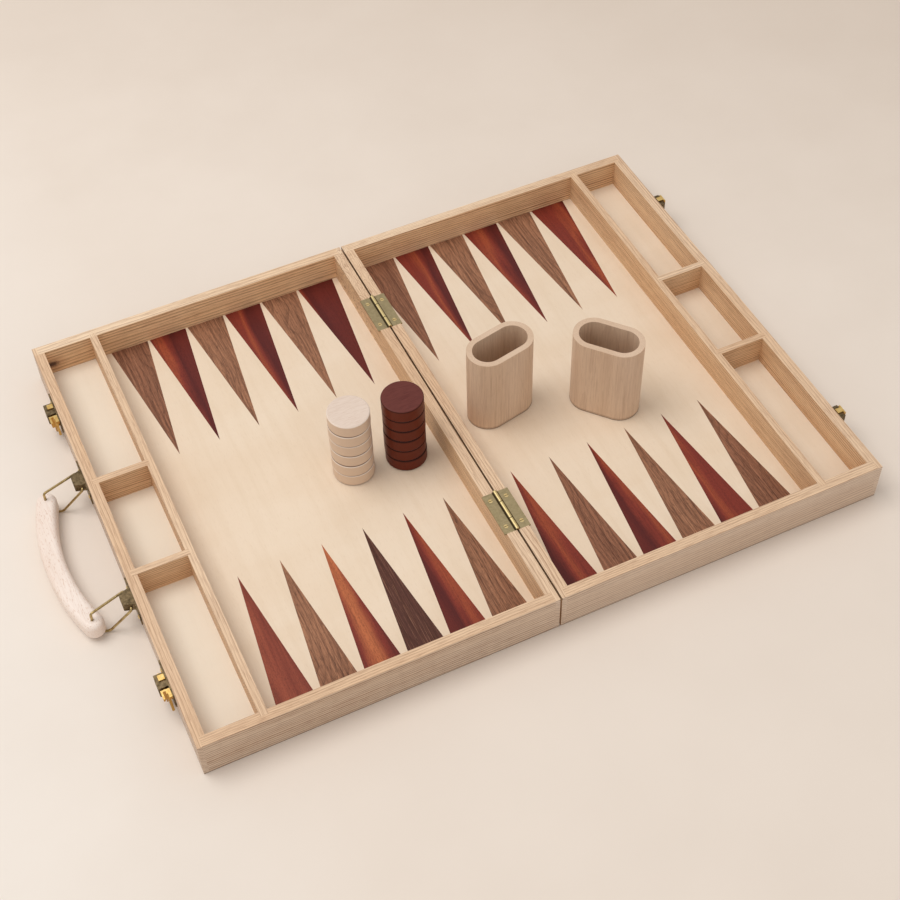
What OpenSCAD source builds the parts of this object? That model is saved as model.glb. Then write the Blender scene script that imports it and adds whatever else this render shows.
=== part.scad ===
// Folding backgammon board, lying open on a table.
// X runs along the open board, Y from front to back, Z up.
// The origin is on the table under the middle of the left hinge rail.

/* [Board] */
// Depth of the board from front to back
board_depth = 440; // [420:5:480]
// Width of one half from its hinge edge to its outer wall
half_width = 294.2; // [286:0.1:310]
// Height of the rim above the table
rim_height = 37.2; // [35:0.1:42]
// Thickness of the four outer rails of a half
rail_t = 9; // [8.5:0.1:10]
// Gap between the two halves
joint_gap = 1.6; // [1.2:0.1:2]

/* [Corners and grooves] */
// Thickness of the side rail tongue that covers the end of the front rail
tongue_t = 4; // [3.5:0.1:4.4]
// Depth of the groove that holds the floor panel
groove_depth = 4; // [3:0.1:4]

/* [Floor] */
// Height of the floor surface above the table
floor_top = 10; // [9:0.1:11]
// Thickness of the floor panel
panel_t = 6; // [5:0.1:7]

/* [Side tray] */
// Clear width of the side tray
tray_width = 41.5; // [38:0.5:46]
// Thickness of the long divider
divider_t = 6.5; // [6:0.1:8]
// Thickness of a cross divider
cross_t = 6; // [5:0.1:8]
// Distance from the middle of the board to a cross divider
cross_y = 51; // [45:0.5:60]
// Depth of the slot for a cross divider in the long divider
half_lap = 2.5; // [1.5:0.1:3]
// Depth of the slot for a cross divider in the side rail
side_lap = 4.5; // [3:0.1:5]

/* [Points] */
// Length of a point from base to tip
point_length = 140.5; // [125:0.5:150]
// Gap between the bases of two points
point_gap = 2; // [1.5:0.1:4]
// Gap between the hinge rail and the first point
point_inner_margin = 4.5; // [3:0.1:7]
// Gap between the last point and the long divider
point_outer_margin = 8.2; // [5:0.1:10]
// Thickness of an inlaid point
inlay_t = 1; // [0.8:0.1:1.5]

/* [Hinges] */
// Distance from the middle of the board to the middle of a hinge
hinge_y = 125; // [110:1:140]
// Length of a hinge
hinge_length = 42; // [38:0.5:46]
// Width of a leaf from the hinge line
leaf_width = 11.5; // [11:0.1:13]
// Thickness of a leaf
leaf_t = 1.2; // [1.1:0.1:1.3]
// Outer radius of the hinge knuckle
knuckle_r = 2; // [1.9:0.05:2.1]
// Radius of the hinge pin
hinge_pin_r = 0.95; // [0.85:0.05:0.95]
// Length of the middle knuckle
mid_knuckle = 18; // [16:0.5:20]
// Height of the hinge line above the rim
hinge_lift = 0.2; // [0.2:0.05:0.3]

/* [Screws] */
// Radius of a screw shank
screw_r = 0.9; // [0.8:0.05:1]
// Radius of a screw head
screw_head_r = 1.9; // [1.7:0.05:2]
// Length of a hinge screw
hinge_screw_l = 11; // [8:0.5:14]
// Length of a plate screw
plate_screw_l = 4; // [3:0.1:4.4]
// Width of the slot in a screw head
screw_slot = 0.5; // [0.4:0.05:0.6]

/* [Handle] */
// Distance from the middle of the board to a handle bracket
handle_y = 66; // [60:1:72]
// Distance from the wall to the line that the handle swings on
handle_pivot_out = 4.4; // [4.2:0.1:5]
// Height of the line that the handle swings on
handle_pivot_z = 26; // [25:0.5:28]
// Radius of the bail wire
wire_r = 1.05; // [0.9:0.05:1.1]
// Distance from the wall to the holes in the grip
grip_hole_out = 35; // [33:0.5:38]
// How far the grip bows outwards between its holes
grip_bow = 11.5; // [8:0.5:14]
// Width of the grip, seen from above
grip_width = 17; // [15:0.5:18]
// Height of the underside of the grip
grip_bottom = 2.6; // [2.6:0.1:4]
// Height of the top of the grip
grip_top = 19; // [17:0.5:20]
// Rounding of the edges of the grip
grip_round = 4; // [3:0.5:5]

/* [Handle brackets] */
// Length of a bracket plate
bracket_length = 38; // [37:0.5:44]
// Height of a bracket plate
bracket_height = 15; // [14:0.5:18]
// Length of the bracket knuckle
bracket_knuckle = 16; // [14:0.5:17]
// Half the height of the bracket knuckle
bracket_knuckle_r = 4; // [3.6:0.1:4.2]
// How far the bracket knuckle stands out from the wall
bracket_out = 10; // [9:0.1:11]
// Thickness of every wall plate
plate_t = 1.2; // [1:0.1:1.4]

/* [Latches] */
// Distance from the middle of the board to a latch
latch_y = 150; // [140:1:160]
// Length of a latch plate
latch_length = 34; // [32:0.5:38]
// Height of a latch plate
latch_height = 16; // [15:0.5:17]
// Length of the latch box
box_length = 13; // [12:0.5:14]
// Height of the latch box
box_height = 11; // [10:0.5:11.5]
// How far the latch box stands out from the wall
box_out = 9; // [8:0.1:9.2]
// Distance from the wall to the lever pin
lever_pin_out = 4.5; // [4:0.1:4.8]
// Height of the lever pin above the table
lever_pin_z = 26; // [25.5:0.1:26.5]
// Radius of the lever pin
lever_pin_r = 0.8; // [0.7:0.05:0.85]
// Thickness of a lever ear
ear_t = 1.2; // [1:0.1:1.5]
// Distance from the lever pin to the tip of the lever
lever_reach = 22; // [20:0.5:23]
// Thickness of the lever tongue and of the catch hook
tongue_plate_t = 1.4; // [1.2:0.1:1.6]

/* [Checkers] */
// Diameter of a checker
checker_d = 35.5; // [33:0.5:36]
// Thickness of a checker
checker_t = 12.4; // [11:0.1:12.6]
// Rounding of the edge of a checker
checker_round = 1.2; // [0.5:0.1:2]
// Number of checkers in a stack
checkers_in_stack = 6; // [6]

/* [Dice cups] */
// Length of a cup, seen from above
cup_length = 62; // [56:1:64]
// Width of a cup, seen from above
cup_width = 36; // [32:1:37]
// Height of a cup
cup_height = 79; // [70:1:80]
// Thickness of the wall of a cup
cup_wall = 5; // [4:0.1:6]
// Thickness of the base of a cup
cup_base_t = 3; // [2:0.1:5]

/* [Hidden] */
$fn = 64;
LEFT = -1;
RIGHT = 1;
BACK = 1;
FRONT = -1;
POINTS_IN_ROW = 6;

// Overcut of a cutting solid and play between parts
over = 1;
pin_play = 0.05;
wire_play = 0.08;
side_play = 0.3;
stand_gap = 0.3;

// Places along X, counted from the seam between the halves
seam_x = (rail_t + joint_gap) / 2;
hinge_face_x = joint_gap / 2;
hinge_inner_x = hinge_face_x + rail_t;
outer_x = hinge_face_x + half_width;
inner_x = outer_x - rail_t;
divider_x = inner_x - tray_width - divider_t;
cross_x = divider_x + divider_t - half_lap;
cross_length = tray_width + half_lap + side_lap;

// Places along Y and Z
half_depth = board_depth / 2;
inner_y = half_depth - rail_t;
slot_y = inner_y + groove_depth;
panel_z = floor_top - panel_t;
wall_h = rim_height - floor_top;
hinge_z = rim_height + hinge_lift;
stand_z = floor_top + stand_gap;

// Points
field_width = divider_x - hinge_inner_x;
points_width = field_width - point_inner_margin - point_outer_margin;
point_base = (points_width - (POINTS_IN_ROW - 1) * point_gap) / POINTS_IN_ROW;
point_pitch = point_base + point_gap;
first_point_x = hinge_inner_x + point_inner_margin;

// Hinges
knuckle_split = 0.3;
hinge_bore_r = hinge_pin_r + pin_play;
groove_r = knuckle_r + side_play;
hinge_screw_x = 7;
hinge_screw_y = 14;
slot_depth = 0.4;

// Handle
bracket_z = handle_pivot_z + bracket_knuckle_r - bracket_height;
knuckle_flare = 0.8;
knuckle_taper = 2.5;
knuckle_foot = bracket_knuckle / 2 + knuckle_flare;
knuckle_front = bracket_knuckle / 2 - knuckle_taper;
bracket_screw_y = 15;
bracket_screw_drop = 5;
bracket_screw_z = handle_pivot_z - bracket_screw_drop;
screw_cap_t = 0.8;
screw_cap_taper = 0.7;
bail_beside = 2;
bail_rise = 0.5;
bail_under_gap = 0.15;
bail_behind = 2;
bend_extra = 0.02;
bail_half = bracket_knuckle / 2 + bail_beside;
bend_r = wire_r + bend_extra;
bail_top_z = handle_pivot_z + bail_rise;
bail_low_z = grip_bottom - wire_r - bail_under_gap;
bail_inner_out = grip_hole_out - grip_width / 2 - bail_behind;
bail_inner_y = 3.3;
grip_hole_play = 0.25;
grip_hole_r = wire_r + grip_hole_play;
grip_arc_r = (handle_y * handle_y + grip_bow * grip_bow) / (2 * grip_bow);
grip_arc_x = outer_x + grip_hole_out + grip_bow - grip_arc_r;
grip_half_angle = asin(handle_y / grip_arc_r);
grip_height = grip_top - grip_bottom;
grip_end_extra = 0.6;
grip_end_r = grip_width / 2 + grip_end_extra;

// Latches and catches
latch_drop = 10;
latch_box_drop = 6;
latch_screw_inset = 4;
latch_screw_drop = 2;
latch_z = lever_pin_z - latch_drop;
latch_box_z = lever_pin_z - latch_box_drop;
latch_screw_y = latch_length / 2 - latch_screw_inset;
latch_screw_z = lever_pin_z - latch_screw_drop;
square_size = 5;
square_t = 1.2;
square_shift = 2;
square_in = 2.6;
ear_r = 3.2;
ear_width = 6.4;
ear_y = box_length / 2 + side_play;
guard_near = ear_y + ear_t + 2 * side_play;
guard_length = 8;
guard_far = guard_near + guard_length;
guard_out = 7;
guard_t = 3;
guard_leg = 2.4;
guard_rim = 1.4;
guard_blade = 2;
guard_drop = 15;
guard_tip = 4;
bar_drop = 7.6;
bar_height = 2.2;
tongue_half = 5;
tip_half = 2.4;
hook_drop = 11;
hook_half = 4.5;

// Loose pieces, placed as in the picture
white_stack_at = [-85.8, -10.7];
dark_stack_at = [-39.8, -15.6];
left_cup_at = [55.5, -2];
left_cup_angle = 12;
right_cup_at = [140, -36];
right_cup_angle = -49;
stack_wobble = 0.2;
white_turn = 130;
dark_turn = 100;

// Placing

// Each half is drawn on the right of the seam, and the left one is its mirror image
module on_side(side) {
    translate([seam_x, 0, 0])
        mirror([side == LEFT ? 1 : 0, 0, 0])
            children();
}

// Each row is drawn behind the middle, and the front one is its mirror image
module on_row(row) {
    mirror([0, row == FRONT ? 1 : 0, 0])
        children();
}

module on_both_rows() {
    for (row = [BACK, FRONT])
        on_row(row)
            children();
}

// A cylinder along Y whose middle is at the place given
module bar_y(x, y, z, r, length) {
    translate([x, y, z])
        rotate([90, 0, 0])
            cylinder(r = r, h = length, center = true);
}

// Blanks that are also used to cut the slots they sit in

module panel_blank() {
    translate([hinge_inner_x - groove_depth, -slot_y, panel_z])
        cube([inner_x - hinge_inner_x + 2 * groove_depth, 2 * slot_y, panel_t]);
}

module divider_blank(extra = 0) {
    translate([divider_x, -slot_y, floor_top])
        cube([divider_t, 2 * slot_y, wall_h + extra]);
}

module cross_blank(extra = 0) {
    translate([cross_x, cross_y - cross_t / 2, floor_top])
        cube([cross_length, cross_t, wall_h + extra]);
}

// A rail along Y whose ends are cut back behind a tongue on its outer face
module tongued_rail(x, tongue_outside) {
    lap_x = tongue_outside ? x - over : x + tongue_t;
    difference() {
        translate([x, -half_depth, 0])
            cube([rail_t, board_depth, rim_height]);
        on_both_rows()
            translate([lap_x, inner_y, -over])
                cube([rail_t - tongue_t + over, rail_t + over, rim_height + 2 * over]);
        panel_blank();
    }
}

// Frame of a half

module end_rail(side, row) {
    color([0.87, 0.75, 0.6])
        on_side(side) on_row(row)
            difference() {
                translate([hinge_face_x + tongue_t, inner_y, 0])
                    cube([half_width - 2 * tongue_t, rail_t, rim_height]);
                panel_blank();
                divider_blank(over);
            }
}

module side_rail(side) {
    color([0.87, 0.74, 0.59])
        on_side(side)
            difference() {
                tongued_rail(inner_x, true);
                on_both_rows() {
                    cross_blank(over);
                    latch_plate_holes();
                    if (side == LEFT) bracket_holes();
                }
            }
}

module hinge_rail(side) {
    color([0.86, 0.73, 0.58])
        on_side(side)
            difference() {
                tongued_rail(hinge_face_x, false);
                on_both_rows() {
                    translate([-over, hinge_y - hinge_length / 2, rim_height - leaf_t])
                        cube([leaf_width + over, hinge_length, leaf_t + over]);
                    bar_y(0, hinge_y, hinge_z, groove_r, hinge_length);
                    hinge_screw_shanks(pin_play);
                }
            }
}

module floor_panel(side) {
    color([0.93, 0.85, 0.74])
        on_side(side)
            difference() {
                panel_blank();
                for (row = [BACK, FRONT], k = [0 : POINTS_IN_ROW - 1])
                    point_solid(row, k, over);
            }
}

module long_divider(side) {
    color([0.88, 0.77, 0.63])
        on_side(side)
            difference() {
                divider_blank();
                on_both_rows()
                    cross_blank(over);
            }
}

module cross_divider(side, row) {
    color([0.88, 0.77, 0.63])
        on_side(side) on_row(row)
            cross_blank();
}

// Points

module point_solid(row, k, extra = 0) {
    on_row(row)
        translate([first_point_x + k * point_pitch, inner_y, floor_top - inlay_t])
            linear_extrude(inlay_t + extra)
                polygon([[0, 0], [point_base / 2, -point_length], [point_base, 0]]);
}

// Walnut and padauk alternate along each row and face each other across the board
function is_walnut(side, row, k) = k % 2 == (side == row ? 0 : 1);

module walnut_points(side) {
    color([0.36, 0.21, 0.14])
        on_side(side)
            for (row = [BACK, FRONT], k = [0 : POINTS_IN_ROW - 1])
                if (is_walnut(side, row, k)) point_solid(row, k);
}

module padauk_points(side) {
    color([0.62, 0.16, 0.09])
        on_side(side)
            for (row = [BACK, FRONT], k = [0 : POINTS_IN_ROW - 1])
                if (!is_walnut(side, row, k)) point_solid(row, k);
}

// Hinges

module hinge_screw_places() {
    for (end = [-1, 1])
        translate([hinge_screw_x, hinge_y + end * hinge_screw_y, rim_height])
            children();
}

module hinge_screw_shanks(play = 0) {
    hinge_screw_places()
        translate([0, 0, -hinge_screw_l])
            cylinder(r = screw_r + play, h = hinge_screw_l);
}

module countersinks(play = 0) {
    hinge_screw_places()
        translate([0, 0, -leaf_t])
            cylinder(r1 = screw_r + play, r2 = screw_head_r + play, h = leaf_t);
}

// The left leaf has the two outer knuckles and the right leaf the middle one
module knuckles(outer, r, gap) {
    outer_length = (hinge_length - mid_knuckle) / 2 - gap;
    if (outer) {
        for (end = [-1, 1])
            bar_y(0, hinge_y + end * (hinge_length - outer_length) / 2, hinge_z, r, outer_length);
    } else {
        bar_y(0, hinge_y, hinge_z, r, mid_knuckle - 2 * gap);
    }
}

module hinge_leaf(side, row) {
    color([0.66, 0.56, 0.33])
        on_side(side) on_row(row)
            difference() {
                union() {
                    difference() {
                        translate([0, hinge_y - hinge_length / 2, rim_height - leaf_t])
                            cube([leaf_width, hinge_length, leaf_t]);
                        knuckles(side == RIGHT, groove_r, -knuckle_split / 2);
                    }
                    knuckles(side == LEFT, knuckle_r, knuckle_split / 2);
                }
                bar_y(0, hinge_y, hinge_z, hinge_bore_r, hinge_length + 2 * over);
                countersinks(pin_play);
            }
}

module hinge_pin(row) {
    color([0.6, 0.55, 0.42])
        on_side(RIGHT) on_row(row)
            bar_y(0, hinge_y, hinge_z, hinge_pin_r, hinge_length);
}

module hinge_screws(side) {
    color([0.7, 0.63, 0.45])
        on_side(side)
            on_both_rows()
                difference() {
                    union() {
                        hinge_screw_shanks();
                        countersinks();
                    }
                    hinge_screw_places()
                        cube([2 * screw_head_r + over, screw_slot, 2 * slot_depth], center = true);
                }
}

// Round headed screws that hold the wall plates

module plate_screw() {
    difference() {
        union() {
            translate([-plate_screw_l, 0, 0])
                rotate([0, 90, 0])
                    cylinder(r = screw_r, h = plate_screw_l + plate_t + screw_cap_t / 2);
            translate([plate_t, 0, 0])
                rotate([0, 90, 0])
                    cylinder(r1 = screw_head_r, r2 = screw_head_r * screw_cap_taper, h = screw_cap_t);
        }
        translate([plate_t + screw_cap_t, 0, 0])
            cube([2 * slot_depth, 2 * screw_head_r + over, screw_slot], center = true);
    }
}

module plate_screw_hole() {
    translate([-plate_screw_l, 0, 0])
        rotate([0, 90, 0])
            cylinder(r = screw_r + pin_play, h = plate_screw_l + plate_t + over);
}

module latch_screw_places() {
    for (end = [-1, 1])
        translate([outer_x, latch_y + end * latch_screw_y, latch_screw_z])
            children();
}

module bracket_screw_places() {
    for (end = [-1, 1])
        translate([outer_x, handle_y + end * bracket_screw_y, bracket_screw_z])
            children();
}

module latch_plate_holes() {
    latch_screw_places()
        plate_screw_hole();
}

module bracket_holes() {
    bracket_screw_places()
        plate_screw_hole();
}

module plate_screws(side) {
    color([0.5, 0.42, 0.28])
        on_side(side)
            on_both_rows() {
                latch_screw_places()
                    plate_screw();
                if (side == LEFT)
                    bracket_screw_places()
                        plate_screw();
            }
}

// Handle

module handle_bracket(row) {
    color([0.3, 0.26, 0.18])
        on_side(LEFT) on_row(row)
            difference() {
                union() {
                    translate([outer_x, handle_y - bracket_length / 2, bracket_z])
                        cube([plate_t, bracket_length, bracket_height]);
                    translate([outer_x, handle_y, handle_pivot_z - bracket_knuckle_r])
                        linear_extrude(2 * bracket_knuckle_r)
                            polygon([
                                [0, -knuckle_foot], [bracket_out, -knuckle_front],
                                [bracket_out, knuckle_front], [0, knuckle_foot]
                            ]);
                }
                bar_y(outer_x + handle_pivot_out, handle_y, handle_pivot_z,
                    wire_r + wire_play, 2 * knuckle_foot + 2 * over);
                bracket_holes();
            }
}

// A straight piece of wire between two bends
module wire(from, to) {
    along = to - from;
    length = norm(along);
    translate(from)
        rotate([0, acos(along[2] / length), atan2(along[1], along[0])])
            cylinder(r = wire_r, h = length);
}

// The wire turns in the bracket, and its back leg goes down through the hole in the grip
module handle_bail(row) {
    pivot_x = outer_x + handle_pivot_out;
    hole_x = outer_x + grip_hole_out;
    bends = [
        [pivot_x, bail_half, handle_pivot_z],
        [hole_x, 0, bail_top_z],
        [hole_x, 0, bail_low_z],
        [outer_x + bail_inner_out, -bail_inner_y, bail_low_z],
        [pivot_x, -bail_half, handle_pivot_z]
    ];
    color([0.75, 0.7, 0.6])
        on_side(LEFT)
            translate([0, row * handle_y, 0])
                for (i = [0 : len(bends) - 1]) {
                    wire(bends[i], bends[(i + 1) % len(bends)]);
                    translate(bends[i])
                        sphere(r = bend_r);
                }
}

// Cross-section of the grip with rounded edges, in the plane of a revolve
module grip_section(middle) {
    half = grip_width / 2;
    translate([middle - half, grip_bottom + grip_round])
        square([grip_width, grip_height - 2 * grip_round]);
    translate([middle - half + grip_round, grip_bottom])
        square([grip_width - 2 * grip_round, grip_height]);
    for (x = [middle - half + grip_round, middle + half - grip_round])
        for (y = [grip_bottom + grip_round, grip_top - grip_round])
            translate([x, y])
                circle(r = grip_round);
}

// The sector between the two holes, with round ends beyond them
module grip_plan() {
    reach = grip_arc_r + grip_width;
    spread = reach * tan(grip_half_angle);
    translate([grip_arc_x, 0, 0])
        linear_extrude(grip_top + over)
            polygon([[0, 0], [reach, -spread], [reach, spread]]);
    on_both_rows()
        translate([outer_x + grip_hole_out, handle_y, 0])
            cylinder(r = grip_end_r, h = grip_top + over);
}

module handle_grip() {
    color([0.9, 0.82, 0.76])
        on_side(LEFT)
            difference() {
                intersection() {
                    translate([grip_arc_x, 0, 0])
                        rotate_extrude()
                            grip_section(grip_arc_r);
                    grip_plan();
                }
                on_both_rows()
                    translate([outer_x + grip_hole_out, handle_y, grip_bottom - over])
                        cylinder(r = grip_hole_r, h = grip_height + 2 * over);
            }
}

// Latches on the left wall and catches on the right wall

module plate_and_box() {
    translate([outer_x, latch_y - latch_length / 2, latch_z])
        cube([plate_t, latch_length, latch_height]);
    translate([outer_x, latch_y - box_length / 2, latch_box_z])
        cube([box_out, box_length, box_height]);
}

module latch_base(row) {
    color([0.3, 0.26, 0.18])
        on_side(LEFT) on_row(row)
            difference() {
                plate_and_box();
                bar_y(outer_x + lever_pin_out, latch_y, lever_pin_z,
                    lever_pin_r + pin_play, box_length + 2 * over);
                latch_plate_holes();
            }
}

module latch_pins() {
    color([0.6, 0.5, 0.3])
        on_side(LEFT)
            on_both_rows()
                bar_y(outer_x + lever_pin_out, latch_y, lever_pin_z,
                    lever_pin_r, 2 * (ear_y + ear_t + side_play));
}

// A bright frame in front of the lever, open to the front, with a blade that slants down
module latch_guard() {
    box_top = latch_box_z + box_height;
    frame_length = guard_far - guard_near;
    translate([outer_x + plate_t, 0, 0]) {
        difference() {
            translate([0, -guard_far, box_top - guard_t])
                cube([guard_out, frame_length, guard_t]);
            translate([guard_leg, -guard_far - over, box_top - guard_t - over])
                cube([
                    guard_out - guard_leg - guard_rim,
                    frame_length - guard_rim + over,
                    guard_t + 2 * over
                ]);
        }
        translate([guard_leg - guard_blade / 2, 0, 0])
            rotate([90, 0, 90])
                linear_extrude(guard_blade)
                    polygon([
                        [-guard_near, box_top - guard_t - guard_blade],
                        [-guard_near, box_top],
                        [-guard_near - guard_tip, box_top],
                        [-guard_far - guard_tip, box_top - guard_drop + guard_blade],
                        [-guard_far - guard_tip + guard_blade, box_top - guard_drop]
                    ]);
    }
}

// On each latch, the bright block on top of the box and the bright frame in front of it
module latch_squares() {
    color([0.85, 0.68, 0.35])
        on_side(LEFT)
            for (row = [BACK, FRONT])
                translate([0, row * latch_y, 0]) {
                    translate([
                        outer_x + box_out - square_size - square_in,
                        square_shift - square_size / 2,
                        latch_box_z + box_height
                    ])
                        cube([square_size, square_size, square_t]);
                    latch_guard();
                }
}

// The lever has an ear on each side of the box and a tongue that hangs below it
module lever_outline() {
    bar_half = ear_y + ear_t;
    top = lever_pin_z - bar_drop;
    tip = lever_pin_z - lever_reach;
    translate([outer_x + lever_pin_out - tongue_plate_t / 2, latch_y, 0])
        rotate([90, 0, 90])
            linear_extrude(tongue_plate_t)
                polygon([
                    [-bar_half, top], [bar_half, top],
                    [bar_half, top - bar_height], [tongue_half, top - bar_height],
                    [tip_half, tip], [-tip_half, tip],
                    [-tongue_half, top - bar_height], [-bar_half, top - bar_height]
                ]);
}

module latch_lever(row) {
    pin_x = outer_x + lever_pin_out;
    ear_drop = bar_drop + bar_height;
    color([0.83, 0.64, 0.3])
        on_side(LEFT) on_row(row)
            difference() {
                union() {
                    lever_outline();
                    for (end = [-1, 1]) {
                        bar_y(pin_x, latch_y + end * (ear_y + ear_t / 2), lever_pin_z,
                            ear_r, ear_t);
                        translate([
                            pin_x - ear_width / 2,
                            latch_y + end * (ear_y + ear_t / 2) - ear_t / 2,
                            lever_pin_z - ear_drop
                        ])
                            cube([ear_width, ear_t, ear_drop]);
                    }
                }
                bar_y(pin_x, latch_y, lever_pin_z, lever_pin_r + pin_play, 2 * box_length);
            }
}

module catch_plate(row) {
    color([0.3, 0.26, 0.18])
        on_side(RIGHT) on_row(row)
            difference() {
                plate_and_box();
                latch_plate_holes();
            }
}

// A strip that lies on top of the box and turns down over its front
module catch_hooks() {
    box_top = latch_box_z + box_height;
    color([0.85, 0.68, 0.35])
        on_side(RIGHT)
            on_both_rows()
                union() {
                    translate([
                        outer_x + box_out - square_size,
                        latch_y - square_size / 2,
                        box_top
                    ])
                        cube([square_size, square_size, square_t]);
                    translate([outer_x + box_out, latch_y, 0])
                        rotate([90, 0, 90])
                            linear_extrude(tongue_plate_t)
                                polygon([
                                    [-hook_half, box_top + square_t],
                                    [hook_half, box_top + square_t],
                                    [hook_half, latch_box_z],
                                    [tip_half, latch_box_z + box_height - 2 * hook_drop + square_t],
                                    [-tip_half, latch_box_z + box_height - 2 * hook_drop + square_t],
                                    [-hook_half, latch_box_z]
                                ]);
                }
}

// Loose pieces

module checker_solid() {
    r = checker_d / 2;
    flat = r - checker_round;
    rotate_extrude() {
        square([flat, checker_t]);
        translate([0, checker_round])
            square([r, checker_t - 2 * checker_round]);
        for (y = [checker_round, checker_t - checker_round])
            translate([flat, y])
                circle(r = checker_round);
    }
}

// The checkers of a stack sit a little off one another
function wobble(i, turn) = stack_wobble * [sin(i * turn), cos(i * turn * 2)];

module stacked_checker(at, i, turn) {
    place = at + wobble(i, turn);
    translate([seam_x + place[0], place[1], stand_z + (i - 1) * checker_t])
        checker_solid();
}

module white_checker(i) {
    color([0.88, 0.81, 0.76])
        stacked_checker(white_stack_at, i, white_turn);
}

module dark_checker(i) {
    color([0.42, 0.2, 0.16])
        stacked_checker(dark_stack_at, i, dark_turn);
}

// An oblong with half-round ends
module oblong(length, width) {
    square([length - width, width], center = true);
    for (end = [-1, 1])
        translate([end * (length - width) / 2, 0])
            circle(r = width / 2);
}

module place_cup(at, angle) {
    translate([seam_x + at[0], at[1], stand_z])
        rotate([0, 0, angle])
            children();
}

module cup_body(at, angle) {
    color([0.75, 0.65, 0.55])
        place_cup(at, angle)
            translate([0, 0, cup_base_t])
                difference() {
                    linear_extrude(cup_height - cup_base_t)
                        oblong(cup_length, cup_width);
                    translate([0, 0, -over])
                        linear_extrude(cup_height)
                            oblong(cup_length - 2 * cup_wall, cup_width - 2 * cup_wall);
                }
}

module cup_base(at, angle) {
    color([0.7, 0.6, 0.5])
        place_cup(at, angle)
            linear_extrude(cup_base_t)
                oblong(cup_length, cup_width);
}

end_rail(LEFT, BACK);  // left_back_rail
end_rail(LEFT, FRONT);  // left_front_rail
side_rail(LEFT);  // left_side_rail
hinge_rail(LEFT);  // left_hinge_rail
floor_panel(LEFT);  // left_floor_panel
long_divider(LEFT);  // left_long_divider
cross_divider(LEFT, BACK);  // left_back_cross_divider
cross_divider(LEFT, FRONT);  // left_front_cross_divider
end_rail(RIGHT, BACK);  // right_back_rail
end_rail(RIGHT, FRONT);  // right_front_rail
side_rail(RIGHT);  // right_side_rail
hinge_rail(RIGHT);  // right_hinge_rail
floor_panel(RIGHT);  // right_floor_panel
long_divider(RIGHT);  // right_long_divider
cross_divider(RIGHT, BACK);  // right_back_cross_divider
cross_divider(RIGHT, FRONT);  // right_front_cross_divider
walnut_points(LEFT);  // left_walnut_points
padauk_points(LEFT);  // left_padauk_points
walnut_points(RIGHT);  // right_walnut_points
padauk_points(RIGHT);  // right_padauk_points
hinge_leaf(LEFT, BACK);  // back_hinge_left_leaf
hinge_leaf(RIGHT, BACK);  // back_hinge_right_leaf
hinge_pin(BACK);  // back_hinge_pin
hinge_leaf(LEFT, FRONT);  // front_hinge_left_leaf
hinge_leaf(RIGHT, FRONT);  // front_hinge_right_leaf
hinge_pin(FRONT);  // front_hinge_pin
hinge_screws(LEFT);  // left_hinge_screws
hinge_screws(RIGHT);  // right_hinge_screws
handle_grip();
handle_bail(BACK);  // back_handle_bail
handle_bail(FRONT);  // front_handle_bail
handle_bracket(BACK);  // back_handle_bracket
handle_bracket(FRONT);  // front_handle_bracket
plate_screws(LEFT);  // left_plate_screws
plate_screws(RIGHT);  // right_plate_screws
latch_base(BACK);  // back_latch_base
latch_base(FRONT);  // front_latch_base
latch_lever(BACK);  // back_latch_lever
latch_lever(FRONT);  // front_latch_lever
latch_pins();
latch_squares();
catch_plate(BACK);  // back_catch
catch_plate(FRONT);  // front_catch
catch_hooks();
for (i = [1 : checkers_in_stack]) {
    white_checker(i);
    dark_checker(i);
}
cup_body(left_cup_at, left_cup_angle);  // left_cup_body
cup_base(left_cup_at, left_cup_angle);  // left_cup_base
cup_body(right_cup_at, right_cup_angle);  // right_cup_body
cup_base(right_cup_at, right_cup_angle);  // right_cup_base
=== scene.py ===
"""Dresses the folding backgammon board: wood, brass, wire, light and camera."""
import math

import bmesh
import bpy
from mathutils import Matrix, Vector


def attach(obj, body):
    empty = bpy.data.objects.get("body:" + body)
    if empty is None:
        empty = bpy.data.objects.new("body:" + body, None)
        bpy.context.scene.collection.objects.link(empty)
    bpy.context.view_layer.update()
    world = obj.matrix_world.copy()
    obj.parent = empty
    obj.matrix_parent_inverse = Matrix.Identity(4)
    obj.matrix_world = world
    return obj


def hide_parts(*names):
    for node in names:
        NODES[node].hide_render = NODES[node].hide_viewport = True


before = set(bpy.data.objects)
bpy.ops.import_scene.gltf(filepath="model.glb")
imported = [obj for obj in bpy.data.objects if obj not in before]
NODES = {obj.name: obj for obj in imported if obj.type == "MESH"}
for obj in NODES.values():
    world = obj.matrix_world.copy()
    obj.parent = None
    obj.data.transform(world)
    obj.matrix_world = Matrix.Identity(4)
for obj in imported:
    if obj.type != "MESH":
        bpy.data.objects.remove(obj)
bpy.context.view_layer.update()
MM = 0.001

# The board in millimetres, as in the part's source, with X measured from the seam
RAIL_T = 9.0
JOINT_GAP = 1.6
SEAM_X = (RAIL_T + JOINT_GAP) / 2
OUTER_X = 295.0
HALF_DEPTH = 220.0
BACK_INNER_Y = HALF_DEPTH - RAIL_T
RIM_Z = 37.2
FIELD_END = 238.0

# The points of the playing field
COLUMNS = 12
FIRST_POINT_X = 14.3
POINT_PITCH = 36.25

# The loose pieces
STAND_Z = 10.3
CHECKERS = 6
CHECKER_T = 12.4
FOOT_LINE_Z = 1.9
# How high the painted contact shadow along each cup's lower edge reaches
CUP_SHADOW_Z = 1.3

# The hinges
BARREL_R = 2.0
HINGE_Y = 125.0
KNUCKLE_HALF = 9.0
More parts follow.
